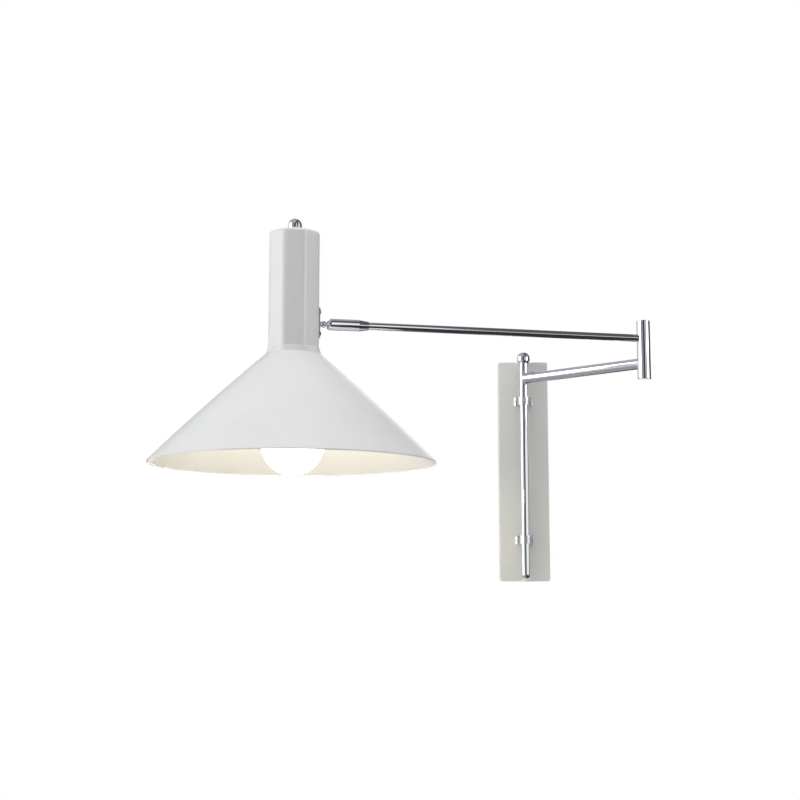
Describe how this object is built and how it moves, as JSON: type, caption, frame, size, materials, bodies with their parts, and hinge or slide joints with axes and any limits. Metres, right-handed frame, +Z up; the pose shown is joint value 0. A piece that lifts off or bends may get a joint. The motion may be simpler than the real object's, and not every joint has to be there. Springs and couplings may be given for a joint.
{
  "type": "swing arm wall lamp",
  "caption": "Wall lamp: a plate with a turning rod, two jointed chrome arms and a white cone shade with an eight-sided neck, on a ball joint",
  "frame": {"origin": "middle of the wall plate's back, on the wall", "axes": "+X along the wall to the viewer's right, +Y into the wall, +Z up; the arms stand as in the picture"},
  "size_m": [0.5098, 0.3495, 0.3603],
  "materials": {
    "white_paint": "smooth white enamel, satin sheen",
    "plate_paint": "warm white satin enamel",
    "zinc_steel": "zinc plated steel",
    "chrome_tube": "polished chrome plate",
    "chrome_turned": "polished chrome plate",
    "clip_chrome": "polished chrome plate",
    "screw_steel": "bright steel",
    "pivot_brass": "turned brass",
    "contact_brass": "sprung brass",
    "slip_plastic": "natural low-friction plastic",
    "spring_steel": "spring steel",
    "bush_plastic": "white plastic",
    "holder_plastic": "white moulded plastic",
    "contact_ceramic": "unglazed porcelain",
    "cap_metal": "rolled aluminium",
    "opal_glass": "opal white glass, lit",
    "lead_sleeve": "white insulation"
  },
  "bodies": {
    "wall_base": {"wall_plate": "plate_paint", "mounting_strap": "zinc_steel", "strap_spacers": "zinc_steel", "clip_upper": "clip_chrome", "clip_lower": "clip_chrome", "clip_screws": "screw_steel"},
    "rod_assembly": {"pivot_rod": "chrome_tube", "rod_dome_nut": "chrome_turned", "rod_end_cap": "chrome_turned", "cord_bush": "bush_plastic", "short_arm": "chrome_tube", "arm_root_screw": "screw_steel", "elbow_lower": "chrome_turned", "elbow_pivot": "pivot_brass", "elbow_nut": "pivot_brass", "elbow_bottom_plug": "chrome_turned", "short_arm_lead": "lead_sleeve"},
    "arm_assembly": {"elbow_upper": "chrome_turned", "elbow_washer": "slip_plastic", "elbow_top_plug": "chrome_turned", "long_arm": "chrome_tube", "arm_collar": "chrome_turned", "ball_socket": "chrome_turned", "socket_lock_screw": "screw_steel", "seat_spring": "spring_steel", "long_arm_lead": "lead_sleeve"},
    "ball_cup": {"ball_seat": "slip_plastic"},
    "shade_assembly": {"ball_stud": "chrome_turned", "rosette": "chrome_turned", "rosette_screws": "screw_steel", "stud_washer": "zinc_steel", "stud_nut": "zinc_steel", "neck_housing": "white_paint", "cone_shade": "white_paint", "shade_dome_nut": "chrome_turned", "top_washer": "chrome_turned", "nipple": "pivot_brass", "nipple_nut": "zinc_steel", "lampholder_cap": "holder_plastic", "lampholder_body": "holder_plastic", "shade_ring": "holder_plastic", "contact_block": "contact_ceramic", "centre_contact": "contact_brass", "thread_shell": "pivot_brass", "bulb_cap": "cap_metal", "bulb_globe": "opal_glass", "shade_lead": "lead_sleeve"}
  },
  "joints": [
    {"name": "rod_swivel", "type": "hinge", "parent": "wall_base", "child": "rod_assembly", "pos_m": [0, -0.0225, 0], "axis": [0, 0, 1], "range_deg": [-130, 37]},
    {"name": "elbow_swivel", "type": "hinge", "parent": "rod_assembly", "child": "arm_assembly", "pos_m": [0.11693, -0.12965, 0.1158], "axis": [0, 0, 1], "range_deg": [-40, 200]},
    {"name": "shade_roll", "type": "hinge", "parent": "arm_assembly", "child": "ball_cup", "pos_m": [-0.20788, -0.20613, 0.129], "axis": [-0.9734, -0.2292, 0], "range_deg": [-45, 45]},
    {"name": "shade_tilt", "type": "hinge", "parent": "ball_cup", "child": "shade_assembly", "pos_m": [-0.20788, -0.20613, 0.129], "axis": [0.2292, -0.9734, 0], "range_deg": [-30, 8]}
  ]
}
